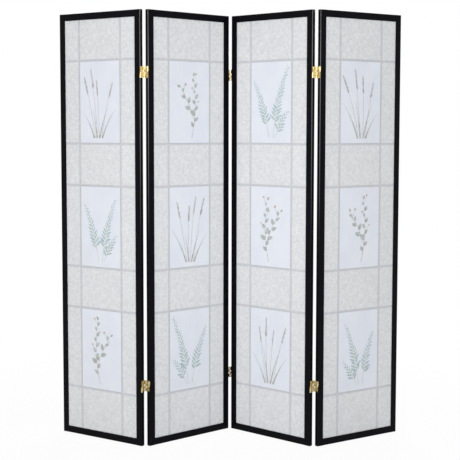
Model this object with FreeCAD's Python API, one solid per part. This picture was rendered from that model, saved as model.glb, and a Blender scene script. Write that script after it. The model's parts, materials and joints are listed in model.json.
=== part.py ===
"""Four-panel folding room divider, in millimetres.

Each panel is a rabbeted wooden frame with a sheet of paper behind its front lip, a half-lapped
lattice behind the paper and a ring of mitred stop strips that keeps both in place. Three picture
sheets are pasted on the front of the paper. Neighbouring panels are joined by two-way hinges:
each has two leaves and two links, which cross from the front of one leaf to the back of the other.

A panel is drawn in its own frame: x along its width from the left, y from its front face to its
back, z up from the floor. The whole screen stands with its origin under its middle, front to -Y.
"""
import FreeCAD
import Part

import math
import os

from FreeCAD import Placement, Rotation, Vector

# Panels
PANEL_WIDTH = 424.0
PANEL_HEIGHT = 1784.0
PANEL_THICKNESS = 19.0
OUTER_FOLD_ANGLE = 72.3
MIDDLE_FOLD_ANGLE = 79.8

# Frame members
STILE_WIDTH = 28.0
RAIL_WIDTH = 28.0
LIP_THICKNESS = 3.5
RABBET_WIDTH = 7.0
STILE_EDGE_RADIUS = 3.0
RAIL_EDGE_RADIUS = 1.0
TENON_THICKNESS = 6.0
TENON_SHOULDER = 3.5
MORTISE_COVER = 6.0
MORTISE_GAP = 0.1

# Paper, picture sheets, lattice and stop strips
SEAT_GAP = 0.25
PAPER_THICKNESS = 0.4
PRINT_THICKNESS = 0.3
PRINT_WIDTH = 213.0
PRINT_HEIGHT = 341.0
PRINT_PITCH = 519.0
PRINT_RISE = 5.0
PRINT_MARGIN = 1.5
BAR_WIDTH = 10.0
BAR_THICKNESS = 8.0
LAP_GAP = 0.1
STRIP_SETBACK = 1.0
STRIP_BEVEL = 2.0

# Two-way hinges
HINGE_GAP = 8.0
HINGE_HEIGHT = 46.0
HINGE_INSET = 250.0
SHEET_THICKNESS = 1.2
LINK_THICKNESS = 2.4
KNUCKLE_LENGTH = 15.0
PIN_RADIUS = 2.7
PIN_CLEARANCE = 0.05
AXIS_OUTSET = 2.7
PLATE_CLEARANCE = 0.4
KNUCKLE_GAP = 0.3
HALF_GAP = 0.8

# Places that follow from the sizes above
FRAME_BACKING = STILE_WIDTH - RABBET_WIDTH
RAIL_BACKING = RAIL_WIDTH - RABBET_WIDTH
PAPER_BACK = LIP_THICKNESS + PAPER_THICKNESS
STRIP_BACK = PANEL_THICKNESS - STRIP_SETBACK
BARREL_RADIUS = PIN_RADIUS + PIN_CLEARANCE + SHEET_THICKNESS
AXIS_REACH = PANEL_THICKNESS / 2 + AXIS_OUTSET
PLATE_REACH = AXIS_REACH - BARREL_RADIUS - PLATE_CLEARANCE
HINGE_FOOT = -HINGE_HEIGHT / 2
LINK_TOP = -HALF_GAP / 2
FOLD_ANGLES = (OUTER_FOLD_ANGLE, -MIDDLE_FOLD_ANGLE, OUTER_FOLD_ANGLE)
RIGHT = Vector(1, 0, 0)
BACK = Vector(0, 1, 0)
UP = Vector(0, 0, 1)


def block(x_range, y_range, z_range):
    """Make a rectangular block between two limits along each axis."""
    corner = Vector(x_range[0], y_range[0], z_range[0])
    size = Vector(x_range[1], y_range[1], z_range[1]) - corner
    return Part.makeBox(size.x, size.y, size.z, corner)


def outline_face(corners):
    """Make a flat face from corners given as (point, radius), rounding each by its own radius."""
    count = len(corners)
    edges = []
    ends = []
    for index, (point, radius) in enumerate(corners):
        if radius <= 0:
            ends.append((point, point))
            continue
        to_last = (corners[index - 1][0] - point).normalize()
        to_next = (corners[(index + 1) % count][0] - point).normalize()
        half_angle = to_last.getAngle(to_next) / 2
        tangent = radius / math.tan(half_angle)
        inward = (to_last + to_next).normalize()
        middle = point + inward * (radius / math.sin(half_angle) - radius)
        ends.append((point + to_last * tangent, point + to_next * tangent))
        edges.append(Part.Arc(ends[-1][0], middle, ends[-1][1]).toShape())
    for index in range(count):
        start = ends[index][1]
        finish = ends[(index + 1) % count][0]
        edges.append(Part.LineSegment(start, finish).toShape())
    return Part.Face(Part.Wire(Part.__sortEdges__(edges)))


def flat_face(points):
    """Make a flat face with straight sides through the given points."""
    return Part.Face(Part.makePolygon(points + points[:1]))


def frame_section(width, edge_radius, start, across):
    """Make the L-shaped section of a stile or rail, from its outer edge at start to its opening."""
    shoulder = width - RABBET_WIDTH
    corners = [
        (0, 0, edge_radius),
        (width, 0, 0),
        (width, LIP_THICKNESS, 0),
        (shoulder, LIP_THICKNESS, 0),
        (shoulder, PANEL_THICKNESS, 0),
        (0, PANEL_THICKNESS, edge_radius),
    ]
    return outline_face([(start + across * out + BACK * depth, radius) for out, depth, radius in corners])


def tenon(gap):
    """Make the stub tenon of the bottom rail's left end, or its mortise when a gap is given."""
    middle = (LIP_THICKNESS + PANEL_THICKNESS) / 2
    reach = TENON_THICKNESS / 2 + gap
    return block(
        (MORTISE_COVER - gap, FRAME_BACKING),
        (middle - reach, middle + reach),
        (TENON_SHOULDER - gap, RAIL_BACKING - TENON_SHOULDER + gap),
    )


def swap_sides(shape):
    """Mirror a panel piece from its left half to its right half."""
    return shape.mirror(Vector(PANEL_WIDTH / 2, 0, 0), RIGHT)


def swap_ends(shape):
    """Mirror a panel piece from its bottom half to its top half."""
    return shape.mirror(Vector(0, 0, PANEL_HEIGHT / 2), UP)


def left_stile():
    """Make the left stile with a mortise near each end."""
    section = frame_section(STILE_WIDTH, STILE_EDGE_RADIUS, Vector(), RIGHT)
    mortise = tenon(MORTISE_GAP)
    return section.extrude(UP * PANEL_HEIGHT).cut([mortise, swap_ends(mortise)])


def bottom_rail():
    """Make the bottom rail with a long and short shoulder and a stub tenon at each end."""
    section = frame_section(RAIL_WIDTH, RAIL_EDGE_RADIUS, RIGHT * FRAME_BACKING, UP)
    rail = section.extrude(RIGHT * (PANEL_WIDTH - 2 * FRAME_BACKING))
    notch = block((FRAME_BACKING, STILE_WIDTH), (0, LIP_THICKNESS), (0, RAIL_WIDTH))
    stub = tenon(0)
    return rail.cut([notch, swap_sides(notch)]).fuse([stub, swap_sides(stub)]).removeSplitter()


def paper_sheet():
    """Make the paper that lies against the back of the front lip."""
    side = FRAME_BACKING + SEAT_GAP
    end = RAIL_BACKING + SEAT_GAP
    return block((side, PANEL_WIDTH - side), (LIP_THICKNESS, PAPER_BACK), (end, PANEL_HEIGHT - end))


def print_heights():
    """Give the height of the middle of the bottom, middle and top picture sheets."""
    return [PANEL_HEIGHT / 2 + PRINT_RISE + step * PRINT_PITCH for step in (-1, 0, 1)]


def print_sheet(height):
    """Make one picture sheet, pasted on the front of the paper."""
    middle = PANEL_WIDTH / 2
    return block(
        (middle - PRINT_WIDTH / 2, middle + PRINT_WIDTH / 2),
        (LIP_THICKNESS - PRINT_THICKNESS, LIP_THICKNESS),
        (height - PRINT_HEIGHT / 2, height + PRINT_HEIGHT / 2),
    )


def bar_range(middle, spare=0.0):
    """Give the limits across a lattice bar, with any spare room shared by its two sides."""
    reach = (BAR_WIDTH + spare) / 2
    return (middle - reach, middle + reach)


def upright_places():
    """Give the place across the panel of each lattice upright, beside the picture sheets."""
    reach = PRINT_WIDTH / 2 + PRINT_MARGIN
    return [PANEL_WIDTH / 2 - reach, PANEL_WIDTH / 2 + reach]


def crossbar_heights():
    """Give the height of each crossbar, one below and one above every picture sheet."""
    reach = PRINT_HEIGHT / 2 + PRINT_MARGIN
    return [height + side * reach for height in print_heights() for side in (-1, 1)]


def lattice_uprights():
    """Make the uprights, cut away behind where the crossbars lap over them."""
    lap = (PAPER_BACK + BAR_THICKNESS / 2, PAPER_BACK + BAR_THICKNESS)
    end = RAIL_WIDTH - SEAT_GAP
    bars = []
    for place in upright_places():
        bar = block(bar_range(place), (PAPER_BACK, lap[1]), (end, PANEL_HEIGHT - end))
        laps = [block(bar_range(place), lap, bar_range(height, LAP_GAP)) for height in crossbar_heights()]
        bars.append(bar.cut(laps))
    return bars


def lattice_crossbars():
    """Make the crossbars, cut away in front where they lap over the uprights."""
    lap = (PAPER_BACK, PAPER_BACK + BAR_THICKNESS / 2)
    end = STILE_WIDTH - SEAT_GAP
    bars = []
    for height in crossbar_heights():
        bar = block((end, PANEL_WIDTH - end), (lap[0], lap[0] + BAR_THICKNESS), bar_range(height))
        laps = [block(bar_range(place, LAP_GAP), lap, bar_range(height)) for place in upright_places()]
        bars.append(bar.cut(laps))
    return bars


def strip_section(start, across):
    """Make the section of a stop strip from its outer corner, bevelled on its inner back corner."""
    width = RABBET_WIDTH - 2 * SEAT_GAP
    corners = [
        (0, PAPER_BACK),
        (width, PAPER_BACK),
        (width, STRIP_BACK - STRIP_BEVEL),
        (width - STRIP_BEVEL, STRIP_BACK),
        (0, STRIP_BACK),
    ]
    return flat_face([start + across * out + BACK * depth for out, depth in corners])


def stop_strips():
    """Make the ring of mitred strips that keeps the paper and lattice in the rabbet."""
    width = RABBET_WIDTH - 2 * SEAT_GAP
    corner = Vector(FRAME_BACKING + SEAT_GAP, 0, RAIL_BACKING + SEAT_GAP)
    left = strip_section(corner, RIGHT).extrude(UP * (PANEL_HEIGHT - 2 * corner.z))
    bottom = strip_section(corner, UP).extrude(RIGHT * (PANEL_WIDTH - 2 * corner.x))
    wedges = []
    for side in (RIGHT, UP):
        wedge = flat_face([corner, corner + (RIGHT + UP) * width, corner + side * width])
        wedges.append(wedge.extrude(BACK * PANEL_THICKNESS))
    left = left.cut([wedges[0], swap_ends(wedges[0])])
    bottom = bottom.cut([wedges[1], swap_sides(wedges[1])])
    return [left, swap_sides(left), bottom, swap_ends(bottom)]


def pivot(radius, z_range, depth):
    """Make an upright cylinder on a hinge axis at the given depth."""
    return Part.makeCylinder(radius, z_range[1] - z_range[0], Vector(0, depth, z_range[0]))


def turn_over(shape):
    """Turn a hinge piece over end for end, from the left panel's side to the right panel's."""
    turned = shape.copy()
    turned.rotate(Vector(), BACK, 180)
    return turned


def hinge_leaf():
    """Make the left panel's leaf: a plate rolled round the front pin below and the back pin above."""
    edge = -HINGE_GAP / 2
    knuckle = (HINGE_FOOT, HINGE_FOOT + KNUCKLE_LENGTH)
    plate = block((edge, edge + SHEET_THICKNESS), (-PLATE_REACH, PLATE_REACH), (HINGE_FOOT, -HINGE_FOOT))
    wall_middle = SHEET_THICKNESS / 2 - BARREL_RADIUS
    tab = flat_face(
        [
            Vector(edge, -PLATE_REACH, HINGE_FOOT),
            Vector(edge + SHEET_THICKNESS, -PLATE_REACH, HINGE_FOOT),
            Vector(wall_middle + SHEET_THICKNESS / 4, -AXIS_REACH, HINGE_FOOT),
            Vector(wall_middle - SHEET_THICKNESS / 4, -AXIS_REACH, HINGE_FOOT),
        ]
    ).extrude(UP * KNUCKLE_LENGTH)
    front = tab.fuse(pivot(BARREL_RADIUS, knuckle, -AXIS_REACH))
    front = front.cut(pivot(PIN_RADIUS + PIN_CLEARANCE, knuckle, -AXIS_REACH))
    back = front.copy()
    back.rotate(Vector(), RIGHT, 180)
    return plate.fuse([front, back]).removeSplitter()


def hinge_link():
    """Make the lower link: a strap from the front pin to the back pin, above the leaves' knuckles."""
    strap_foot = HINGE_FOOT + KNUCKLE_LENGTH + KNUCKLE_GAP
    half_strap = LINK_THICKNESS / 2
    strap = block((-half_strap, half_strap), (-AXIS_REACH, AXIS_REACH), (strap_foot, LINK_TOP))
    pins = [pivot(PIN_RADIUS, (HINGE_FOOT, LINK_TOP), side * AXIS_REACH) for side in (-1, 1)]
    return strap.fuse(pins).removeSplitter()


def hinge_set(left_side, folds_back):
    """Make what one panel carries of a hinge: its leaf, and the link that folds along with it."""
    leaf = hinge_leaf()
    link = hinge_link()
    if not left_side:
        leaf = turn_over(leaf)
    if left_side != folds_back:
        link = turn_over(link)
    return {"hinge_leaves": leaf, "hinge_links": link}


def panel_hinges(number):
    """Place the hinge pieces that ride on one panel, on its left and right edges."""
    pieces = {"hinge_leaves": [], "hinge_links": []}
    joints = [(number - 2, -HINGE_GAP / 2, False), (number - 1, PANEL_WIDTH + HINGE_GAP / 2, True)]
    for joint, across, left_side in joints:
        if not 0 <= joint < len(FOLD_ANGLES):
            continue
        for height in (HINGE_INSET, PANEL_HEIGHT - HINGE_INSET):
            for name, shape in hinge_set(left_side, FOLD_ANGLES[joint] > 0).items():
                shape.translate(Vector(across, PANEL_THICKNESS / 2, height))
                pieces[name].append(shape)
    return pieces


def panel_pieces(number):
    """Make every piece of one panel in the panel's own frame, as lists of solids by name."""
    stile = left_stile()
    rail = bottom_rail()
    low, middle, high = print_heights()
    pieces = {
        "left_stile": [stile],
        "right_stile": [swap_sides(stile)],
        "bottom_rail": [rail],
        "top_rail": [swap_ends(rail)],
        "paper": [paper_sheet()],
        "bottom_print": [print_sheet(low)],
        "middle_print": [print_sheet(middle)],
        "top_print": [print_sheet(high)],
        "lattice_uprights": lattice_uprights(),
        "lattice_crossbars": lattice_crossbars(),
        "stop_strips": stop_strips(),
    }
    pieces.update(panel_hinges(number))
    return pieces


def fold_axis_depth(fold):
    """Give the depth of the pivot that a fold turns on: behind the panel, or in front of it."""
    if fold > 0:
        return PANEL_THICKNESS + AXIS_OUTSET
    return -AXIS_OUTSET


def panel_placements():
    """Chain the panels from left to right through the axes of their folds."""
    heading = MIDDLE_FOLD_ANGLE / 2 - OUTER_FOLD_ANGLE
    placements = [Placement(Vector(), Rotation(UP, heading))]
    for fold in FOLD_ANGLES:
        heading += fold
        turn = Rotation(UP, heading)
        depth = fold_axis_depth(fold)
        axis = placements[-1].multVec(Vector(PANEL_WIDTH + HINGE_GAP / 2, depth, 0))
        placements.append(Placement(axis - turn.multVec(Vector(-HINGE_GAP / 2, depth, 0)), turn))
    return placements


def build():
    """Place all pieces, move the origin under the middle and return them with the fold axes."""
    placements = panel_placements()
    nodes = {}
    for number, placement in enumerate(placements, start=1):
        for name, solids in panel_pieces(number).items():
            shape = Part.makeCompound(solids)
            shape.Placement = placement
            nodes[f"panel_{number}_{name}"] = shape
    box = FreeCAD.BoundBox()
    for shape in nodes.values():
        box.add(shape.optimalBoundingBox(False, False))
    shift = Vector(-box.Center.x, -box.Center.y, -box.ZMin)
    for shape in nodes.values():
        shape.translate(shift)
    axes = []
    for placement, fold in zip(placements, FOLD_ANGLES):
        axes.append(placement.multVec(Vector(PANEL_WIDTH + HINGE_GAP / 2, fold_axis_depth(fold), 0)) + shift)
    return nodes, axes


def main():
    """Write one file for each piece or group of like pieces, and print the fold axes."""
    nodes, axes = build()
    os.makedirs("parts", exist_ok=True)
    for name, shape in nodes.items():
        shape.exportStep(f"parts/{name}.step")
    for number, axis in enumerate(axes, start=1):
        print(f"fold {number}-{number + 1} axis at x {axis.x:.4f} y {axis.y:.4f}")


main()
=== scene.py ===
"""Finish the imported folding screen: lacquer, paper, pasted pictures, hinges, screws and studio."""

import json
import math
import random

import bpy
from bpy.props import FloatProperty, FloatVectorProperty, IntProperty, PointerProperty
from mathutils import Matrix, Vector


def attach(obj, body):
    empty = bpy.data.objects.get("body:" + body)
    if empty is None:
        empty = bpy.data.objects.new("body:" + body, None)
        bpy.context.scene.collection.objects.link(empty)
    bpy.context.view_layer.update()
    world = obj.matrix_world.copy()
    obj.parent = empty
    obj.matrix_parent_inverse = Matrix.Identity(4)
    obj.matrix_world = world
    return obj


bl_info = {
    "name": "Folding room divider finish",
    "version": (1, 0, 0),
    "blender": (4, 5, 0),
    "location": "View3D > Sidebar > Divider",
    "description": "Finishes the frames, paper, pictures and hinges of a folding screen and sets its stage",
    "category": "Object",
}

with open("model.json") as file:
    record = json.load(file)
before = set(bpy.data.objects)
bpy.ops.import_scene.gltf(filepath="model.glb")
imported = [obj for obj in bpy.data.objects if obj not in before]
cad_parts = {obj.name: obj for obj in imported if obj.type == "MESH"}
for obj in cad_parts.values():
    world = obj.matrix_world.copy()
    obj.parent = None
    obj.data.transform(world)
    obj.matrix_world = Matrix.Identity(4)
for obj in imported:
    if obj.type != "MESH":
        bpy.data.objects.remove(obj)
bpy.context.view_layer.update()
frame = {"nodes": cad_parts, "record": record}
PANELS = (1, 2, 3, 4)
PRINTS = ("top_print", "middle_print", "bottom_print")
UPRIGHT_MEMBERS = ("left_stile", "right_stile", "lattice_uprights")
LEVEL_MEMBERS = ("bottom_rail", "top_rail", "lattice_crossbars")
HINGE_PIECES = ("hinge_leaves", "hinge_links")
# Sides of each panel that carry hinges: -1 is left, 1 is right
HINGED_SIDES = {1: (1,), 2: (-1, 1), 3: (-1, 1), 4: (-1,)}
# Depths of the surface reliefs, in metres
PORE_DEPTH = 0.00008
FIBRE_DEPTH = 0.00015
TOOTH_DEPTH = 0.00006
DRAWING_DEPTH = 0.00004
# Each leaf lies this much above the one before, so that no two share a plane
LEAF_LIFT = 0.0000004
# The floor lies this much below the feet
FLOOR_DROP = 0.0005
# How much longer than wide the pores of the wood are
GRAIN_STRETCH = 24.0
LEAF_SIZES = ("Leaf Length", "Leaf Width", "Spacing", "Lean", "Bare Share", "Tip Share")
UP = (0.0, 0.0, 1.0)
WHITE = (1.0, 1.0, 1.0, 1.0)


# Node trees
class Wire:
    """One socket of a node tree. Arithmetic on it adds Math nodes."""

    def __init__(self, graph, socket):
        self.graph = graph
        self.socket = socket

    def other(self, name):
        """Give another output of the same node."""
        return Wire(self.graph, self.socket.node.outputs[name])

    def maths(self, operation, *values):
        """Add a Math node that works on the given values."""
        sockets = dict(enumerate(values))
        return self.graph.add("ShaderNodeMath", {"operation": operation}, sockets)

    def __add__(self, value):
        return self.maths("ADD", self, value)

    __radd__ = __add__

    def __sub__(self, value):
        return self.maths("SUBTRACT", self, value)

    def __rsub__(self, value):
        return self.maths("SUBTRACT", value, self)

    def __mul__(self, value):
        return self.maths("MULTIPLY", self, value)

    __rmul__ = __mul__

    def __truediv__(self, value):
        return self.maths("DIVIDE", self, value)

    def __rtruediv__(self, value):
        return self.maths("DIVIDE", value, self)

    def __mod__(self, value):
        return self.maths("MODULO", self, value)

    def __pow__(self, value):
        return self.maths("POWER", self, value)

    def __abs__(self):
        return self.maths("ABSOLUTE", self)

    def __gt__(self, value):
        return self.maths("GREATER_THAN", self, value)


class Graph:
    """A node tree under construction. Every node comes from add."""

    def __init__(self, tree):
        self.tree = tree

    def add(self, kind, settings=(), sockets=(), output=0):
        """Add a node, set it up, fill or link its sockets and give one of its outputs."""
        node = self.tree.nodes.new(kind)
        for key, value in dict(settings).items():
            setattr(node, key, value)
        for key, value in dict(sockets).items():
            for item in value if isinstance(value, list) else [value]:
                if isinstance(item, Wire):
                    self.tree.links.new(item.socket, node.inputs[key])
                else:
                    node.inputs[key].default_value = item
        return Wire(self, node.outputs[output]) if node.outputs else None

    def axes(self, point):
        """Give a point's x. Its y and z are the other outputs."""
        return self.add("ShaderNodeSeparateXYZ", {}, {0: point})

    def vector(self, x=0.0, y=0.0, z=0.0):
        """Join three values to a vector."""
        return self.add("ShaderNodeCombineXYZ", {}, {"X": x, "Y": y, "Z": z})

    def length(self, point):
        """Give how far a point is from the origin."""
        return self.add("ShaderNodeVectorMath", {"operation": "LENGTH"}, {0: point}, output="Value")

    def pick(self, operation, values):
        """Give the highest or the lowest of several values, by MAXIMUM or MINIMUM."""
        chosen = values[0]
        for value in values[1:]:
            chosen = value.maths(operation, chosen, value)
        return chosen


class Finish(Graph):
    """A surface material under construction."""

    def __init__(self, name):
        self.material = bpy.data.materials.new(name)
        self.material.use_nodes = True
        super().__init__(self.material.node_tree)
        self.tree.nodes.clear()

    def place(self, matrix, stretch=(1.0, 1.0, 1.0)):
        """Give coordinates in a panel's own frame, stretched along the given axes."""
        point = self.add("ShaderNodeTexCoord", output="Object")
        turn = (0.0, 0.0, matrix.to_euler().z)
        return self.add(
            "ShaderNodeMapping",
            {"vector_type": "TEXTURE"},
            {"Vector": point, "Location": matrix.translation, "Rotation": turn, "Scale": stretch},
        )

    def noise(self, point, scale, detail=3.0, roughness=0.5):
        """Give a cloudy pattern from 0 to 1."""
        sockets = {"Vector": point, "Scale": scale, "Detail": detail, "Roughness": roughness}
        return self.add("ShaderNodeTexNoise", {}, sockets)

    def smooth(self, value, low, high, start=0.0, end=1.0):
        """Ease from start to end while a value goes from low to high."""
        sockets = {"Value": value, "From Min": low, "From Max": high, "To Min": start, "To Max": end}
        return self.add("ShaderNodeMapRange", {"interpolation_type": "SMOOTHSTEP"}, sockets)

    def blend(self, factor, first, second):
        """Mix two colours."""
        sockets = {0: factor, 6: opaque(first), 7: opaque(second)}
        return self.add("ShaderNodeMix", {"data_type": "RGBA"}, sockets, output=2)

    def relief(self, height, strength, distance):
        """Turn a height into a bumped normal."""
        return self.add("ShaderNodeBump", {}, {"Strength": strength, "Distance": distance, "Height": height})

    def close(self, sockets):
        """Shade the surface and give the finished material."""
        shader = self.add("ShaderNodeBsdfPrincipled", {}, sockets)
        self.add("ShaderNodeOutputMaterial", {}, {"Surface": shader})
        return self.material


class Pattern(Graph):
    """A geometry tree under construction, with named inputs for its sizes and one for its material."""

    def __init__(self, name, sizes):
        super().__init__(bpy.data.node_groups.new(name, "GeometryNodeTree"))
        face = self.tree.interface
        inputs = {"Geometry": "Geometry", **dict.fromkeys(sizes, "Float"), "Material": "Material"}
        for label, kind in inputs.items():
            face.new_socket(label, in_out="INPUT", socket_type=f"NodeSocket{kind}")
        face.new_socket("Geometry", in_out="OUTPUT", socket_type="NodeSocketGeometry")
        self.entry = self.add("NodeGroupInput")

    def given(self, name):
        """Give one of the tree's inputs."""
        return self.entry.other(name)

    def chance(self, low, high, seed):
        """Give each point a number by chance."""
        sockets = {2: low, 3: high, "ID": self.add("GeometryNodeInputIndex"), "Seed": seed}
        return self.add("FunctionNodeRandomValue", {"data_type": "FLOAT"}, sockets, output=1)

    def store(self, geometry, name, value, kind="FLOAT"):
        """Keep a value on each point under a name."""
        settings = {"data_type": kind, "domain": "POINT"}
        sockets = {"Geometry": geometry, "Name": name, "Value": value}
        return self.add("GeometryNodeStoreNamedAttribute", settings, sockets)

    def stored(self, name):
        """Give the vector that each point keeps under a name."""
        return self.add("GeometryNodeInputNamedAttribute", {"data_type": "FLOAT_VECTOR"}, {"Name": name})

    def turn(self, axis, direction, angle):
        """Turn an axis to a direction, then spin about z by an angle."""
        aligned = self.add("FunctionNodeAlignRotationToVector", {"axis": axis}, {"Vector": direction})
        spin = self.add("FunctionNodeAxisAngleToRotation", {}, {"Axis": UP, "Angle": angle})
        sockets = {"Rotation": aligned, "Rotate By": spin}
        return self.add("FunctionNodeRotateRotation", {"rotation_space": "LOCAL"}, sockets)

    def scatter(self, points, instance, sockets):
        """Set an instance on each point, and end the tree with them."""
        sockets = {"Points": points, "Instance": instance, **sockets}
        return self.close(self.add("GeometryNodeInstanceOnPoints", {}, sockets))

    def close(self, geometry):
        """Make instances real, give them the material, end the tree and give it."""
        real = self.add("GeometryNodeRealizeInstances", {}, {"Geometry": geometry})
        sockets = {"Geometry": real, "Material": self.given("Material")}
        self.add("NodeGroupOutput", {}, {"Geometry": self.add("GeometryNodeSetMaterial", {}, sockets)})
        return self.tree


def opaque(tone):
    """Give a colour with full opacity, or a wire as it is."""
    return tone if isinstance(tone, Wire) else (*tone[:3], 1.0)


# Reading and adding pieces
def cad(number, piece):
    """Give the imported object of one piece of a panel."""
    return frame["nodes"][f"panel_{number}_{piece}"]


def panel_matrix(number):
    """Read a panel's frame: x along its width, y to its back, z up, from the middle of its foot."""
    faces = [face for face in cad(number, "paper").data.polygons if face.normal.y < 0]
    facing = max(faces, key=lambda face: face.area).normal
    mounts = {mount["name"]: mount["pos_m"] for mount in frame["record"]["mounts"]}
    foot = Matrix.Translation(mounts[f"panel_{number}_foot"])
    return foot @ Matrix.Rotation(math.atan2(facing.x, -facing.y), 4, "Z")


def panel_box(number, piece):
    """Give the lowest and highest corner of a piece in its panel's own frame."""
    into = panel_matrix(number).inverted()
    points = [into @ vertex.co for vertex in cad(number, piece).data.vertices]
    low = Vector([min(point[axis] for point in points) for axis in range(3)])
    high = Vector([max(point[axis] for point in points) for axis in range(3)])
    return low, high


def coat(number, piece, material):
    """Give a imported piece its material."""
    for slot in cad(number, piece).material_slots:
        slot.material = material


def link(name, data):
    """Make an object and put it into the scene."""
    made = bpy.data.objects.new(name, data)
    bpy.context.scene.collection.objects.link(made)
    return made


def grown(name, source, tree, values, matrix):
    """Run a geometry tree on a source and keep what it makes as a plain mesh, placed by a matrix."""
    holder = link(name, source)
    modifier = holder.modifiers.new("grow", "NODES")
    modifier.node_group = tree
    for item in tree.interface.items_tree:
        if item.in_out == "INPUT" and item.name in values:
            modifier[item.identifier] = values[item.name]
    graph = bpy.context.evaluated_depsgraph_get()
    made = holder.evaluated_get(graph)
    mesh = bpy.data.meshes.new_from_object(made, preserve_all_data_layers=True, depsgraph=graph)
    bpy.data.objects.remove(holder)
    if not mesh.polygons:
        raise RuntimeError(f"{name} came out empty")
    mesh.transform(matrix)
    mesh.name = name
    return mesh


def add_piece(name, meshes, body):
    """Join meshes to one piece that rides on a panel."""
    pieces = [link(name, mesh) for mesh in meshes]
    if len(pieces) > 1:
        with bpy.context.temp_override(active_object=pieces[0], selected_editable_objects=pieces):
            bpy.ops.object.join()
    pieces[0].name = name
    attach(pieces[0], body)


def marks_mesh(places, facings):
    """Make a mesh of loose points that know which way they face."""
    mesh = bpy.data.meshes.new("marks")
    mesh.from_pydata(places, [], [])
    facing = mesh.attributes.new("facing", "FLOAT_VECTOR", "POINT")
    for item, direction in zip(facing.data, facings):
        item.vector = direction
    return mesh


def stem_line(start, heading, length, bend, steps=14):
    """Give the points of a stem that leaves its start at a heading from upright and bends evenly."""
    points = [Vector((*start, 0.0))]
    for step in range(steps):
        angle = math.radians(heading + bend * (step + 0.5) / steps)
        points.append(points[-1] + Vector((math.sin(angle), math.cos(angle), 0.0)) * (length / steps))
    return points


def stems_curve(lines):
    """Make a curve with one spline for each line of points."""
    curve = bpy.data.curves.new("stems", "CURVE")
    curve.dimensions = "3D"
    for points in lines:
        spline = curve.splines.new("POLY")
        spline.points.add(len(points) - 1)
        for item, point in zip(spline.points, points):
            item.co = (*point, 1.0)
    return curve


# Patterns that repeat
def leaf_blade(pattern):
    """Make one flat pointed leaf along x, with its share of the length kept for the ink."""
    sockets = {"Size X": 1.0, "Size Y": 1.0, "Vertices X": 9, "Vertices Y": 3}
    grid = pattern.add("GeometryNodeMeshGrid", {}, sockets)
    spot = pattern.axes(pattern.add("GeometryNodeInputPosition"))
    along = spot + 0.5
    swell = spot.maths("SINE", (along**0.8) * math.pi) ** 0.8
    length = along * pattern.given("Leaf Length")
    width = spot.other("Y") * swell * pattern.given("Leaf Width")
    sockets = {"Geometry": pattern.store(grid, "along", along), "Position": pattern.vector(length, width)}
    return pattern.add("GeometryNodeSetPosition", {}, sockets)


def leaves_tree():
    """Make the tree that sets leaves along both sides of stems, smaller towards the tips."""
    pattern = Pattern("Leaves along stems", LEAF_SIZES)
    sockets = {"Curve": pattern.given("Geometry"), "Length": pattern.given("Spacing")}
    stems = pattern.add("GeometryNodeResampleCurve", {"mode": "LENGTH"}, sockets)
    index = pattern.add("GeometryNodeInputIndex")
    share = pattern.add("GeometryNodeSplineParameter")
    side = 1 - (index % 2) * 2
    chance = pattern.chance(0.8, 1.15, 7)
    lean = side * chance * pattern.given("Lean") * (1 - share * 0.45)
    sockets = {"Geometry": stems, "Offset": pattern.vector(z=index * LEAF_LIFT)}
    raised = pattern.add("GeometryNodeSetPosition", {}, sockets)
    sockets = {
        "Selection": share > pattern.given("Bare Share"),
        "Rotation": pattern.turn("X", pattern.add("GeometryNodeInputTangent"), lean),
        "Scale": chance * (1 - share * (1 - pattern.given("Tip Share"))),
    }
    return pattern.scatter(raised, leaf_blade(pattern), sockets)


def stems_tree():
    """Make the tree that draws stems as flat strokes, thinner towards the tips."""
    pattern = Pattern("Stem strokes", ("Stem Width", "Tip Share"))
    share = pattern.add("GeometryNodeSplineParameter")
    wide = pattern.given("Stem Width") * (1 - share * (1 - pattern.given("Tip Share")))
    tangent = pattern.add("GeometryNodeInputTangent")
    across = pattern.add("ShaderNodeVectorMath", {"operation": "CROSS_PRODUCT"}, {0: tangent, 1: UP})
    reach = pattern.add("ShaderNodeVectorMath", {"operation": "SCALE"}, {0: across, "Scale": wide})
    lines = pattern.store(pattern.given("Geometry"), "reach", reach, "FLOAT_VECTOR")
    lines = pattern.store(lines, "along", share)
    found = pattern.stored("reach")
    back = pattern.add("ShaderNodeVectorMath", {"operation": "SCALE"}, {0: found, "Scale": -0.5})
    edge = pattern.add("GeometryNodeSetPosition", {}, {"Geometry": lines, "Offset": back})
    thread = pattern.add("GeometryNodeCurveToMesh", {}, {"Curve": edge})
    sockets = {"Mesh": thread, "Offset": found, "Offset Scale": 1.0}
    return pattern.close(pattern.add("GeometryNodeExtrudeMesh", {"mode": "EDGES"}, sockets))


def berries_tree():
    """Make the tree that sets a round berry on the end of each twig."""
    pattern = Pattern("Berries on twigs", ("Berry Radius",))
    radius = pattern.given("Berry Radius")
    ends = pattern.add("GeometryNodeCurveEndpointSelection", {}, {"Start Size": 0, "End Size": 1})
    sockets = {"Vertices": 14, "Radius": radius}
    disc = pattern.add("GeometryNodeMeshCircle", {"fill_type": "TRIANGLE_FAN"}, sockets)
    far = pattern.length(pattern.add("GeometryNodeInputPosition"))
    berry = pattern.store(disc, "along", far / radius)
    sockets = {"Selection": ends, "Scale": pattern.chance(0.75, 1.2, 3)}
    return pattern.scatter(pattern.given("Geometry"), berry, sockets)


def head_dome(pattern, segments, rings):
    """Make a low dome of a head's radius and height."""
    radius = pattern.given("Head Radius")
    sockets = {"Segments": segments, "Rings": rings, "Radius": 1.0}
    ball = pattern.add("GeometryNodeMeshUVSphere", {}, sockets)
    size = pattern.vector(radius, radius, pattern.given("Head Height"))
    return pattern.add("GeometryNodeTransform", {}, {"Geometry": ball, "Scale": size})


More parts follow.
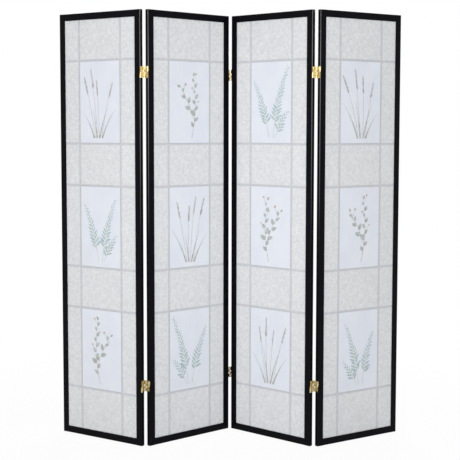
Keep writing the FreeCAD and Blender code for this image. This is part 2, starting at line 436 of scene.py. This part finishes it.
def heads_tree(pattern, head, seed):
    """End a tree with a head on each point, turned to the point's facing and spun by chance."""
    turn = pattern.turn("Z", pattern.stored("facing"), pattern.chance(0.0, math.pi, seed))
    return pattern.scatter(pattern.given("Geometry"), head, {"Rotation": turn})


def screws_tree():
    """Make the tree that sets an oval screw head with a cross recess on each point."""
    pattern = Pattern("Screw heads", ("Head Radius", "Head Height", "Recess Width"))
    height = pattern.given("Head Height")
    slot = pattern.vector(pattern.given("Head Radius") * 1.15, pattern.given("Recess Width"), height)
    cube = pattern.add("GeometryNodeMeshCube", {}, {"Size": slot})
    raised = pattern.vector(z=height * 0.95)
    cuts = []
    for turn in (0.0, math.pi / 2):
        sockets = {"Geometry": cube, "Translation": raised, "Rotation": (0.0, 0.0, turn)}
        cuts.append(pattern.add("GeometryNodeTransform", {}, sockets))
    settings = {"operation": "DIFFERENCE", "solver": "EXACT"}
    sockets = {"Mesh 1": head_dome(pattern, 24, 12), "Mesh 2": cuts}
    return heads_tree(pattern, pattern.add("GeometryNodeMeshBoolean", settings, sockets), 5)


def brads_tree():
    """Make the tree that sets a low round brad head on each point."""
    pattern = Pattern("Brad heads", ("Head Radius", "Head Height"))
    return heads_tree(pattern, head_dome(pattern, 14, 8), 2)


# Finishes
def lacquer_finish(name, settings, number, stretch):
    """Make satin black lacquer, grained along one axis, with corners rubbed bright at hand height."""
    finish = Finish(name)
    matrix = panel_matrix(number)
    point = finish.place(matrix)
    pores = finish.smooth(finish.noise(finish.place(matrix, stretch), 620.0, 4.0, 0.6), 0.38, 0.7)
    cloud = finish.noise(point, 9.0, 3.0)
    tone = finish.blend(pores * 0.6 + cloud * 0.3, settings.deep_colour, settings.grain_colour)
    spot = finish.axes(point)
    corner = panel_box(number, "right_stile")[1]
    inward = finish.pick("MAXIMUM", [corner.x - abs(spot), corner.y - abs(spot.other("Y"))])
    rubbed = finish.smooth(inward, settings.corner_radius * 0.45, settings.corner_radius, 1.0, 0.0)
    low_grip = settings.grip_height - settings.grip_fade
    high_grip = settings.grip_height + settings.grip_fade
    handled = finish.smooth(spot.other("Z"), low_grip, high_grip, 0.03, 1.0)
    return finish.close(
        {
            "Base Color": tone,
            "Roughness": settings.roughness - 0.08 + cloud * 0.16 + pores * 0.05,
            "Specular IOR Level": settings.gloss,
            "Coat Weight": rubbed * handled * (0.7 + cloud * 0.3),
            "Coat Roughness": 0.14,
            "Coat IOR": 1.8,
            "Normal": finish.relief(pores, 0.35, PORE_DEPTH),
        }
    )


def sheet_grid(finish, point, number):
    """Measure a point from a panel's middle sheet, and give the sheets' half size and step."""
    spot = finish.axes(point)
    low, high = panel_box(number, "middle_print")
    centre = (low.z + high.z) / 2
    step = panel_box(number, "top_print")[1].z - high.z
    return abs(spot), abs(spot.other("Z") - centre), high.x, high.z - centre, step


def lattice_shade(finish, point, number, settings):
    """Give where the lattice bars show through the paper, from 0 to 1."""
    across, level, half_width, half_height, step = sheet_grid(finish, point, number)
    reach = half_height + settings.bar_offset
    distances = [across - (half_width + settings.bar_offset)]
    for middle in (reach, step - reach, step + reach):
        distances.append(level - middle)
    width = settings.bar_width
    bands = [finish.smooth(abs(distance), width * 0.3, width * 0.75, 1.0, 0.0) for distance in distances]
    return finish.pick("MAXIMUM", bands)


def sheet_edge_shade(finish, point, number, settings):
    """Give the painted shade line along the edge of the picture sheets, from 0 to 1: the lattice bar's
    shadow deepened at each sheet's edge.
    """
    across, level, half_width, half_height, step = sheet_grid(finish, point, number)
    nearest = finish.pick("MINIMUM", [level, abs(level - step)])
    inward = finish.pick("MINIMUM", [half_width - across, half_height - nearest])
    return finish.smooth(inward, settings.edge_width * 0.4, settings.edge_width, 1.0, 0.0)


def paper_finish(number, settings):
    """Make laminated fibre paper with long threads in it, and the lattice showing through."""
    matrix = panel_matrix(number)
    finish = Finish(f"panel_{number}_fibre_paper")
    point = finish.place(matrix)
    mottle = finish.noise(point, 210.0, 3.0, 0.6)
    patch = finish.smooth(finish.noise(point, 95.0, 2.0), 0.36, 0.64)
    cloud = finish.noise(point, 7.0, 2.0)
    squeezed = finish.place(matrix, (1.0, 1.0, 0.6))
    bands = []
    for scale, detail in ((38.0, 1.0), (64.0, 2.0), (95.0, 1.0)):
        offset = finish.noise(squeezed, scale, detail)
        bands.append(finish.smooth(abs(offset - 0.5), 0.0, 0.012, 1.0, 0.0))
    threads = finish.pick("MAXIMUM", bands)
    pulp = finish.noise(point, 420.0, 2.0)
    speck = finish.smooth(mottle * 0.75 + pulp * 0.25, 0.39, 0.61)
    fibre = speck * 0.5 + patch * 0.38 + cloud * 0.12
    sheet = finish.blend(fibre, settings.shade_colour, settings.paper_colour)
    sheet = finish.blend(threads * settings.thread_strength, sheet, settings.thread_colour)
    shade = lattice_shade(finish, point, number, settings) * settings.bar_shade
    tone = finish.blend(shade, sheet, settings.bar_colour)
    return finish.close(
        {
            "Base Color": tone,
            "Roughness": 0.62 + pulp * 0.2,
            "Specular IOR Level": 0.25,
            "Normal": finish.relief(threads * 0.5 + pulp * 0.5, 0.3, FIBRE_DEPTH),
        }
    )


def print_finish(number, settings):
    """Make a cool white sheet for a picture, with a watery tint, laid lines and a painted shade line along
    its edge.
    """
    finish = Finish(f"panel_{number}_print_paper")
    matrix = panel_matrix(number)
    point = finish.place(matrix)
    wash = finish.smooth(finish.noise(point, 11.0, 2.0), 0.3, 0.7)
    tooth = finish.noise(point, 900.0, 2.0)
    laid = finish.smooth(finish.noise(finish.place(matrix, (1.0, 1.0, 40.0)), 300.0, 2.0), 0.35, 0.65)
    sheet = finish.blend(wash * 0.5 + tooth * 0.15 + laid * 0.35, settings.print_tint, settings.print_colour)
    # Painted shade: a grey line along the sheet's edge, in the colour of the lattice bars' shade
    tone = finish.blend(sheet_edge_shade(finish, point, number, settings), sheet, settings.bar_colour)
    return finish.close(
        {
            "Base Color": tone,
            "Roughness": 0.6 + tooth * 0.2,
            "Specular IOR Level": 0.25,
            "Normal": finish.relief(tooth, 0.2, TOOTH_DEPTH),
        }
    )


def ink_finish(name, settings, root, tip=None):
    """Make a watercolour ink, which may run from one tone at the root to another at the tip."""
    finish = Finish(name)
    point = finish.add("ShaderNodeTexCoord", output="Object")
    along = finish.add("ShaderNodeAttribute", {"attribute_name": "along"}, output="Fac")
    pool = finish.noise(point, 75.0, 3.0, 0.6)
    grain = finish.noise(point, 520.0, 2.0)
    tone = finish.blend(along, root, tip or root)
    full = settings.ink_strength
    strength = finish.smooth(pool * 0.75 + grain * 0.25, 0.3, 0.68, full * 0.4, full)
    return finish.close(
        {
            "Base Color": finish.blend(strength, settings.sheet_colour, tone),
            "Roughness": 0.68 + grain * 0.14,
            "Specular IOR Level": 0.25,
        }
    )


def metal_finish(name, dark, bright, roughness):
    """Make plated metal with fine drawing lines and faint smudges."""
    finish = Finish(name)
    point = finish.add("ShaderNodeTexCoord", output="Object")
    drawn = finish.add("ShaderNodeMapping", {}, {"Vector": point, "Scale": (1.0, 1.0, 0.05)})
    lines = finish.noise(drawn, 2600.0, 2.0)
    smudge = finish.smooth(finish.noise(point, 160.0, 3.0), 0.35, 0.7)
    return finish.close(
        {
            "Base Color": finish.blend(smudge * 0.7 + lines * 0.3, dark, bright),
            "Metallic": 1.0,
            "Roughness": roughness - 0.06 + lines * 0.12 + (1 - smudge) * 0.08,
            "Normal": finish.relief(lines, 0.15, DRAWING_DEPTH),
        }
    )


def studio_share(graph):
    """Give 1 for rays that should see plain white: from the camera, mirrors and clear pieces."""
    rays = graph.add("ShaderNodeLightPath", output="Is Camera Ray")
    return graph.pick("MAXIMUM", [rays, rays.other("Is Glossy Ray"), rays.other("Is Transmission Ray")])


# Settings
def tone_property(name, description, default):
    """Declare a colour that a user may change."""
    return FloatVectorProperty(
        name=name, description=description, default=default, subtype="COLOR", size=3, min=0.0, max=1.0
    )


def size_property(name, description, default):
    """Declare a length that a user may change."""
    return FloatProperty(name=name, description=description, default=default, min=0.0, subtype="DISTANCE")


def share_property(name, description, default):
    """Declare a share from 0 to 1 that a user may change."""
    return FloatProperty(
        name=name, description=description, default=default, subtype="FACTOR", min=0.0, max=1.0
    )


def power_property(name, description, default):
    return FloatProperty(name=name, description=description, default=default, min=0.0, unit="POWER")


class LacquerSettings(bpy.types.PropertyGroup):
    """The black lacquer on the frames, lattice and stop strips."""

    deep_colour: tone_property("Deep colour", "Lacquer where it lies thick", (0.0018, 0.0017, 0.0032))
    grain_colour: tone_property("Grain colour", "Lacquer over the grain", (0.0046, 0.0047, 0.0072))
    roughness: share_property("Roughness", "How dull the lacquer is", 0.30)
    gloss: share_property("Gloss", "Strength of the lacquer's reflection", 0.05)
    corner_radius: size_property("Corner radius", "Radius of the stiles' rubbed corners", 0.003)
    grip_height: size_property("Grip height", "Height from which hands rub the corners bright", 1.1)
    grip_fade: size_property("Grip fade", "How far the rubbing fades above and below that height", 0.4)


class PaperSettings(bpy.types.PropertyGroup):
    """The fibre paper and the sheets pasted on it."""

    paper_colour: tone_property("Paper", "Fibre paper where it is clear", (0.80, 0.805, 0.815))
    shade_colour: tone_property("Paper shade", "Fibre paper where it is cloudy", (0.615, 0.63, 0.655))
    thread_colour: tone_property("Threads", "Long fibres in the paper", (0.84, 0.84, 0.84))
    thread_strength: share_property("Thread strength", "How much the fibres stand out", 0.5)
    bar_colour: tone_property("Bar shade", "Lattice seen through the paper", (0.42, 0.43, 0.47))
    bar_shade: share_property("Bar strength", "How clearly the lattice shows", 0.45)
    bar_width: size_property("Bar width", "Width of a lattice bar behind the paper", 0.010)
    bar_offset: size_property("Bar offset", "From a sheet's edge to the middle of the bar behind it", 0.0015)
    print_colour: tone_property("Sheet", "Pasted sheet", (0.785, 0.81, 0.865))
    print_tint: tone_property("Sheet tint", "Watery tint of the pasted sheet", (0.72, 0.75, 0.83))
    # The grey line along a sheet's edge is painted shade, where the lattice bar's shadow meets the sheet
    edge_width: size_property("Edge width", "Width of the grey line along a sheet's pasted edge", 0.0030)


class PictureSettings(bpy.types.PropertyGroup):
    """The plants drawn on the pasted sheets."""

    sheet_colour: tone_property("Sheet", "Sheet under thin ink", (0.755, 0.785, 0.85))
    fern_root: tone_property("Fern root", "Fern leaflets at the stem", (0.40, 0.44, 0.34))
    fern_tip: tone_property("Fern tip", "Fern leaflets at their tips", (0.16, 0.43, 0.52))
    reed_colour: tone_property("Reed", "Reed stems and seeds", (0.20, 0.17, 0.10))
    leaf_colour: tone_property("Leaf", "Round leaves", (0.27, 0.27, 0.17))
    leaf_tip: tone_property("Leaf tip", "Round leaves at their tips", (0.33, 0.42, 0.36))
    twig_colour: tone_property("Twig", "Twigs of the berry sprig", (0.20, 0.16, 0.12))
    berry_colour: tone_property("Berry", "Berries", (0.50, 0.27, 0.15))
    ink_strength: share_property("Ink strength", "How strongly the ink covers the sheet", 0.92)
    ink_gap: size_property("Ink gap", "How far the ink stands in front of the sheet", 0.00005)
    stem_width: size_property("Stem width", "Width of a stem at its foot", 0.0021)
    seed: IntProperty(name="Seed", description="Varies the plants from sheet to sheet", default=11, min=0)


class HardwareSettings(bpy.types.PropertyGroup):
    """The hinges, their screws and the brads in the stop strips."""

    brass_dark: tone_property("Brass shade", "Brass where it is smudged", (0.44, 0.34, 0.12))
    brass_bright: tone_property("Brass", "Bright brass", (0.78, 0.70, 0.45))
    brass_roughness: share_property("Brass roughness", "How dull the brass is", 0.16)
    screw_dark: tone_property("Screw shade", "Screw brass where it is smudged", (0.36, 0.26, 0.09))
    screw_bright: tone_property("Screw", "Bright screw brass", (0.62, 0.50, 0.24))
    hinge_height: size_property("Hinge height", "Height of a hinge leaf", 0.046)
    plate_thickness: size_property("Plate thickness", "Thickness of a hinge leaf", 0.0012)
    screw_spread: size_property("Screw spread", "From a hinge's middle to its screws", 0.0118)
    screw_radius: size_property("Screw radius", "Radius of a screw head", 0.0029)
    screw_height: size_property("Screw height", "Height of a screw head", 0.0011)
    recess_width: size_property("Recess width", "Width of the cross recess", 0.0008)
    brad_radius: size_property("Brad radius", "Radius of a brad head", 0.0010)
    brad_height: size_property("Brad height", "Height of a brad head", 0.00035)
    brad_pitch: size_property("Brad pitch", "Longest step between brads", 0.19)
    brad_inset: size_property("Brad inset", "From a strip's outer edge to its brads", 0.0022)


class StageSettings(bpy.types.PropertyGroup):
    """The studio: floor, lights and camera."""

    floor_size: size_property("Floor size", "Side of the floor", 16.0)
    floor_colour: tone_property("Floor colour", "Pale floor", (0.86, 0.86, 0.86))
    floor_white: share_property("Floor white", "How much the floor is seen as plain white", 0.94)
    fade_start: size_property("Fade start", "Distance from which the floor fades to plain white", 0.8)
    fade_end: size_property("Fade end", "Distance at which the floor is plain white", 2.4)
    ambient: share_property("Ambient", "Strength of the even light", 0.335)
    front_power: power_property("Front power", "Power of the lamp over the eye", 46.0)
    left_power: power_property("Left power", "Power of the soft lamp on the left", 39.0)
    right_power: power_property("Right power", "Power of the soft lamp on the right", 31.0)
    fill_power: power_property("Fill power", "Power of the soft lamp close in front", 14.4)
    back_power: power_property("Back power", "Power of the lamp behind", 115.0)
    lens: FloatProperty(
        name="Lens", description="Focal length on a 36 mm sensor", default=83.98, unit="CAMERA"
    )
    eye: FloatVectorProperty(
        name="Eye",
        description="Place of the camera",
        default=(0.0032, -4.48506, 1.30314),
        subtype="TRANSLATION",
    )
    turn: FloatVectorProperty(
        name="Turn",
        description="Look down, lean and turn of the camera",
        default=(0.07661, 0.0015, 0.00075),
        subtype="EULER",
        unit="ROTATION",
    )
    frame_shift: FloatProperty(name="Frame shift", description="Shift of the picture frame", default=-0.0391)


# Steps
class DIVIDER_OT_lacquer_frames(bpy.types.Operator):
    """Lacquer the stiles, rails, lattice and stop strips"""

    bl_idname = "divider.lacquer_frames"
    bl_label = "Lacquer the frames"

    def execute(self, context):
        settings = context.scene.divider_lacquer
        for number in PANELS:
            body = f"panel_{number}"
            upright = lacquer_finish(f"{body}_upright_lacquer", settings, number, (1.0, 1.0, GRAIN_STRETCH))
            level = lacquer_finish(f"{body}_level_lacquer", settings, number, (GRAIN_STRETCH, 1.0, 1.0))
            for piece in (*UPRIGHT_MEMBERS, "stop_strips"):
                coat(number, piece, upright)
            for piece in LEVEL_MEMBERS:
                coat(number, piece, level)
        return {"FINISHED"}


class DIVIDER_OT_lay_paper(bpy.types.Operator):
    """Give the fibre paper its threads and the shade of the lattice behind it"""

    bl_idname = "divider.lay_paper"
    bl_label = "Lay the fibre paper"

    def execute(self, context):
        for number in PANELS:
            coat(number, "paper", paper_finish(number, context.scene.divider_paper))
        return {"FINISHED"}


class DIVIDER_OT_paste_sheets(bpy.types.Operator):
    """Give the pasted sheets their cool white paper"""

    bl_idname = "divider.paste_sheets"
    bl_label = "Paste the picture sheets"

    def execute(self, context):
        for number in PANELS:
            finish = print_finish(number, context.scene.divider_paper)
            for piece in PRINTS:
                coat(number, piece, finish)
        return {"FINISHED"}


def sheet_matrix(number, piece, gap):
    """Give the frame of a pasted sheet: x right, y up, z out of the paper, from the sheet's middle."""
    low, high = panel_box(number, piece)
    middle = Vector(((low.x + high.x) / 2, low.y - gap, (low.z + high.z) / 2))
    return panel_matrix(number) @ Matrix.Translation(middle) @ Matrix.Rotation(math.pi / 2, 4, "X")


class PictureOperator:
    """What the operators that draw plants share."""

    def stem_values(self, settings, share, tip, ink):
        """Give the inputs of stems that have a share of the plain width."""
        return {"Stem Width": settings.stem_width * share, "Tip Share": tip, "Material": ink}

    def leaf_values(self, sizes, ink):
        """Give the inputs of leaves whose sizes stand in the order of LEAF_SIZES."""
        return {**dict(zip(LEAF_SIZES, sizes)), "Material": ink}

    def draw_plant(self, name, number, piece, strokes, settings):
        """Draw strokes, each a tree, its lines and its values, in layers in the middle of a sheet."""
        across = [point.x for _, lines, _ in strokes for line in lines for point in line]
        centred = Matrix.Translation((-(min(across) + max(across)) / 2, 0.0, 0.0))
        meshes = []
        for layer, (tree, lines, values) in enumerate(strokes, start=1):
            matrix = sheet_matrix(number, piece, settings.ink_gap * layer) @ centred
            meshes.append(grown(name, stems_curve(lines), tree, values, matrix))
        add_piece(name, meshes, f"panel_{number}")


class DIVIDER_OT_draw_ferns(PictureOperator, bpy.types.Operator):
    """Draw fern fronds on one sheet of each panel"""

    bl_idname = "divider.draw_ferns"
    bl_label = "Draw the ferns"
    sheets = {1: "middle_print", 2: "bottom_print", 3: "top_print", 4: "bottom_print"}
    foot = -0.147
    # Place across, heading, length and bend of each frond
    fronds = ((-0.016, -8, 0.24, -16), (0.004, 6, 0.285, 16), (0.013, 25, 0.13, 16))
    leaflet = (0.042, 0.0125, 0.0074, math.radians(60), 0.22, 0.26)

    def execute(self, context):
        settings = context.scene.divider_pictures
        stem_ink = ink_finish("fern_stem_ink", settings, settings.fern_root)
        leaf_ink = ink_finish("fern_leaf_ink", settings, settings.fern_root, settings.fern_tip)
        leaves = leaves_tree()
        stems = stems_tree()
        for number, piece in self.sheets.items():
            chance = random.Random(settings.seed + number)
            way = 1 if number % 2 else -1
            lines = []
            for x, heading, length, bend in self.fronds:
                wobble = chance.uniform(-3, 3)
                size = length * chance.uniform(0.92, 1.06)
                lines.append(stem_line((way * x, self.foot), way * (heading + wobble), size, way * bend))
            strokes = [
                (stems, lines, self.stem_values(settings, 1.0, 0.3, stem_ink)),
                (leaves, lines, self.leaf_values(self.leaflet, leaf_ink)),
            ]
            self.draw_plant(f"panel_{number}_fern_picture", number, piece, strokes, settings)
        return {"FINISHED"}


class DIVIDER_OT_draw_reeds(PictureOperator, bpy.types.Operator):
    """Draw reeds with seed heads on one sheet of each panel"""

    bl_idname = "divider.draw_reeds"
    bl_label = "Draw the reeds"
    sheets = {1: "top_print", 2: "middle_print", 3: "bottom_print", 4: "top_print"}
    reed_foot = -0.147
    reed_headings = (-12, -4, 2, 9)
    blade_foot = -0.149
    blade_headings = (-18, -6, 12, 20)
    seed_head = (0.021, 0.0068, 0.0050, math.radians(34), 0.72, 0.45)

    def execute(self, context):
        settings = context.scene.divider_pictures
        ink = ink_finish("reed_ink", settings, settings.reed_colour)
        blade_ink = ink_finish("reed_blade_ink", settings, settings.leaf_colour, settings.leaf_tip)
        leaves = leaves_tree()
        stems = stems_tree()
        for number, piece in self.sheets.items():
            chance = random.Random(settings.seed * 3 + number)
            reeds = []
            for step, heading in enumerate(self.reed_headings):
                length = chance.uniform(0.205, 0.29)
                bend = heading * 0.7 + chance.uniform(-9, 9)
                start = (-0.018 + step * 0.011 + chance.uniform(-0.004, 0.004), self.reed_foot)
                reeds.append(stem_line(start, heading + chance.uniform(-3, 3), length, bend))
            blades = []
            for step, heading in enumerate(self.blade_headings):
                start = (-0.021 + step * 0.014, self.blade_foot)
                blades.append(stem_line(start, heading, chance.uniform(0.12, 0.165), heading * 1.1))
            strokes = [
                (stems, blades, self.stem_values(settings, 3.6, 0.05, blade_ink)),
                (stems, reeds, self.stem_values(settings, 0.8, 0.6, ink)),
                (leaves, reeds, self.leaf_values(self.seed_head, ink)),
            ]
            self.draw_plant(f"panel_{number}_reed_picture", number, piece, strokes, settings)
        return {"FINISHED"}


class DIVIDER_OT_draw_sprigs(PictureOperator, bpy.types.Operator):
    """Draw sprigs with round leaves and berries on one sheet of each panel"""

    bl_idname = "divider.draw_sprigs"
    bl_label = "Draw the berry sprigs"
    sheets = {1: "bottom_print", 2: "top_print", 3: "middle_print", 4: "middle_print"}
    start = (0.024, -0.148)
    side_step = 4
    # Step along the main or the side stem, and heading, of each twig
    main_twigs = ((7, -48), (10, 44), (13, -30))
    side_twigs = ((8, 50), (12, -36))
    round_leaf = (0.036, 0.0205, 0.0225, math.radians(54), 0.12, 0.5)
    berry_radius = 0.0046

    def execute(self, context):
        settings = context.scene.divider_pictures
        twig_ink = ink_finish("twig_ink", settings, settings.twig_colour)
        leaf_ink = ink_finish("round_leaf_ink", settings, settings.leaf_colour, settings.leaf_tip)
        berry_ink = ink_finish("berry_ink", settings, settings.berry_colour)
        leaves = leaves_tree()
        stems = stems_tree()
        berries = berries_tree()
        for number, piece in self.sheets.items():
            chance = random.Random(settings.seed * 7 + number)
            way = 1 if number % 2 else -1
            x, foot = self.start
            main = stem_line((way * x, foot), way * -15, chance.uniform(0.255, 0.28), way * 26)
            side = stem_line(main[self.side_step][:2], way * 20, chance.uniform(0.15, 0.17), way * 16)
            twigs = []
            for line, places in ((main, self.main_twigs), (side, self.side_twigs)):
                for step, turn in places:
                    heading = way * turn + chance.uniform(-8, 8)
                    length = chance.uniform(0.026, 0.042)
                    twigs.append(stem_line(line[step][:2], heading, length, way * turn * -0.4, 6))
            strokes = [
                (stems, [main, side], self.stem_values(settings, 1.0, 0.4, twig_ink)),
                (stems, twigs, self.stem_values(settings, 0.6, 0.8, twig_ink)),
                (leaves, [main, side], self.leaf_values(self.round_leaf, leaf_ink)),
                (berries, twigs, {"Berry Radius": self.berry_radius, "Material": berry_ink}),
            ]
            self.draw_plant(f"panel_{number}_sprig_picture", number, piece, strokes, settings)
        return {"FINISHED"}


class DIVIDER_OT_plate_hinges(bpy.types.Operator):
    """Plate the hinge leaves and links with bright brass"""

    bl_idname = "divider.plate_hinges"
    bl_label = "Plate the hinges"

    def execute(self, context):
        settings = context.scene.divider_hardware
        brass = metal_finish(
            "hinge_brass_plate", settings.brass_dark, settings.brass_bright, settings.brass_roughness
        )
        for number in PANELS:
            for piece in HINGE_PIECES:
                coat(number, piece, brass)
        return {"FINISHED"}


class DIVIDER_OT_drive_screws(bpy.types.Operator):
    """Drive two screws into each hinge leaf"""

    bl_idname = "divider.drive_screws"
    bl_label = "Drive the hinge screws"

    def execute(self, context):
        settings = context.scene.divider_hardware
        roughness = settings.brass_roughness + 0.06
        metal = metal_finish("screw_brass", settings.screw_dark, settings.screw_bright, roughness)
        tree = screws_tree()
        values = {
            "Head Radius": settings.screw_radius,
            "Head Height": settings.screw_height,
            "Recess Width": settings.recess_width,
            "Material": metal,
        }
        for number in PANELS:
            edge = panel_box(number, "right_stile")[1].x + settings.plate_thickness
            low, high = panel_box(number, "hinge_leaves")
            half = settings.hinge_height / 2
            places = []
            facings = []
            for side in HINGED_SIDES[number]:
                for middle in (low.z + half, high.z - half):
                    for step in (-1, 1):
                        places.append((side * edge, 0.0, middle + step * settings.screw_spread))
                        facings.append((side, 0.0, 0.0))
            name = f"panel_{number}_hinge_screws"
            mesh = grown(name, marks_mesh(places, facings), tree, values, panel_matrix(number))
            add_piece(name, [mesh], f"panel_{number}")
        return {"FINISHED"}


class DIVIDER_OT_drive_brads(bpy.types.Operator):
    """Drive lacquered brads through the stop strips into the frames"""

    bl_idname = "divider.drive_brads"
    bl_label = "Drive the brads"

    def execute(self, context):
        settings = context.scene.divider_hardware
        tree = brads_tree()
        for number in PANELS:
            values = {
                "Head Radius": settings.brad_radius,
                "Head Height": settings.brad_height,
                "Material": cad(number, "stop_strips").material_slots[0].material,
            }
            low, high = panel_box(number, "stop_strips")
            inset = settings.brad_inset
            corner = Vector((low.x + inset, high.y, low.z + inset))
            size = Vector((high.x - low.x - 2 * inset, 0.0, high.z - low.z - 2 * inset))
            rows = math.ceil(size.z / settings.brad_pitch)
            columns = math.ceil(size.x / settings.brad_pitch)
            places = []
            for across in (0.0, size.x):
                for row in range(rows):
                    places.append(corner + Vector((across, 0.0, size.z * (row + 0.5) / rows)))
            for level in (0.0, size.z):
                for column in range(columns):
                    places.append(corner + Vector((size.x * (column + 0.5) / columns, 0.0, level)))
            name = f"panel_{number}_strip_brads"
            marks = marks_mesh(places, [(0.0, 1.0, 0.0)] * len(places))
            mesh = grown(name, marks, tree, values, panel_matrix(number))
            add_piece(name, [mesh], f"panel_{number}")
        return {"FINISHED"}


class DIVIDER_OT_set_stage(bpy.types.Operator):
    """Set up the pale floor, the soft lamps and the camera"""

    bl_idname = "divider.set_stage"
    bl_label = "Set the stage"
    # Name, place, target and side of each lamp
    lamps = (
        ("front", (-0.4, -4.7, 2.7), (0.05, 0.0, 1.1), 0.6),
        ("left", (-2.9, -3.4, 1.5), (0.0, 0.0, 0.9), 2.6),
        ("right", (2.9, -3.4, 2.8), (0.0, 0.0, 1.0), 2.6),
        ("fill", (0.0, -2.4, 1.3), (0.0, 0.0, 0.9), 1.2),
        ("back", (0.4, 3.4, 2.9), (0.0, 0.0, 1.0), 2.4),
    )

    def add_lamp(self, name, place, target, size, power):
        """Hang one soft square lamp and aim it."""
        light = bpy.data.lights.new(name, "AREA")
        light.energy = power
        light.size = size
        lamp = link(name, light)
        lamp.location = place
        lamp.rotation_euler = (Vector(target) - Vector(place)).to_track_quat("-Z", "Y").to_euler()

    def add_floor(self, settings):
        """Lay the floor, seen as nearly plain white but keeping the screen's shadow."""
        finish = Finish("studio_floor")
        matt = finish.add("ShaderNodeBsdfDiffuse", {}, {"Color": opaque(settings.floor_colour)})
        white = finish.add("ShaderNodeEmission", {}, {"Color": WHITE, "Strength": 1.0})
        far = finish.length(finish.add("ShaderNodeTexCoord", output="Object"))
        fade = finish.smooth(far, settings.fade_start, settings.fade_end, settings.floor_white, 1.0)
        mixed = finish.add("ShaderNodeMixShader", {}, {0: studio_share(finish) * fade, 1: matt, 2: white})
        finish.add("ShaderNodeOutputMaterial", {}, {"Surface": mixed})
        half = settings.floor_size / 2
        mesh = bpy.data.meshes.new("studio_floor")
        corners = [(-half, -half), (half, -half), (half, half), (-half, half)]
        mesh.from_pydata([(x, y, -FLOOR_DROP) for x, y in corners], [], [(0, 1, 2, 3)])
        mesh.materials.append(finish.material)
        floor = link("studio_floor", mesh)

    def light_room(self, settings):
        """Fill the room with even light, white where it is seen."""
        world = bpy.data.worlds.new("studio")
        world.use_nodes = True
        room = Graph(world.node_tree)
        room.tree.nodes.clear()
        strength = studio_share(room) * (1.0 - settings.ambient) + settings.ambient
        glow = room.add("ShaderNodeBackground", {}, {"Color": WHITE, "Strength": strength})
        room.add("ShaderNodeOutputWorld", {}, {"Surface": glow})
        bpy.context.scene.world = world

    def add_camera(self, settings):
        """Set up the camera at the photograph's viewing angle."""
        data = bpy.data.cameras.new("camera")
        data.lens = settings.lens
        data.sensor_width = 36.0
        data.shift_y = settings.frame_shift
        camera = link("camera", data)
        look_down, lean, turn = settings.turn
        aim = Matrix.Rotation(turn, 4, "Z") @ Matrix.Rotation(math.pi / 2 - look_down, 4, "X")
        camera.matrix_world = Matrix.Translation(settings.eye) @ aim @ Matrix.Rotation(lean, 4, "Z")
        bpy.context.scene.camera = camera

    def execute(self, context):
        settings = context.scene.divider_stage
        self.add_floor(settings)
        self.light_room(settings)
        for name, place, target, size in self.lamps:
            self.add_lamp(f"{name}_lamp", place, target, size, getattr(settings, f"{name}_power"))
        self.add_camera(settings)
        context.scene.view_settings.view_transform = "Standard"
        return {"FINISHED"}


STEPS = (
    DIVIDER_OT_lacquer_frames,
    DIVIDER_OT_lay_paper,
    DIVIDER_OT_paste_sheets,
    DIVIDER_OT_draw_ferns,
    DIVIDER_OT_draw_reeds,
    DIVIDER_OT_draw_sprigs,
    DIVIDER_OT_plate_hinges,
    DIVIDER_OT_drive_screws,
    DIVIDER_OT_drive_brads,
    DIVIDER_OT_set_stage,
)
SETTINGS = {
    "divider_lacquer": LacquerSettings,
    "divider_paper": PaperSettings,
    "divider_pictures": PictureSettings,
    "divider_hardware": HardwareSettings,
    "divider_stage": StageSettings,
}


class DIVIDER_PT_workshop(bpy.types.Panel):
    """Lists the steps that finish the screen"""

    bl_idname = "DIVIDER_PT_workshop"
    bl_label = "Folding room divider"
    bl_space_type = "VIEW_3D"
    bl_region_type = "UI"
    bl_category = "Divider"

    def draw(self, context):
        for name, group in SETTINGS.items():
            box = self.layout.box()
            for key in group.__annotations__:
                box.prop(getattr(context.scene, name), key)
        for step in STEPS:
            self.layout.operator(step.bl_idname)


def register():
    """Register the settings, the steps and the sidebar panel."""
    for name, group in SETTINGS.items():
        bpy.utils.register_class(group)
        setattr(bpy.types.Scene, name, PointerProperty(type=group))
    for step in (*STEPS, DIVIDER_PT_workshop):
        bpy.utils.register_class(step)


def unregister():
    """Take the panel, the steps and the settings away again."""
    for step in (DIVIDER_PT_workshop, *reversed(STEPS)):
        bpy.utils.unregister_class(step)
    for name, group in SETTINGS.items():
        delattr(bpy.types.Scene, name)
        bpy.utils.unregister_class(group)


def main():
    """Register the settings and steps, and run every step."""
    register()
    for step in STEPS:
        family, action = step.bl_idname.split(".")
        getattr(getattr(bpy.ops, family), action)()
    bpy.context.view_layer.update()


if __name__ == "__main__":
    main()
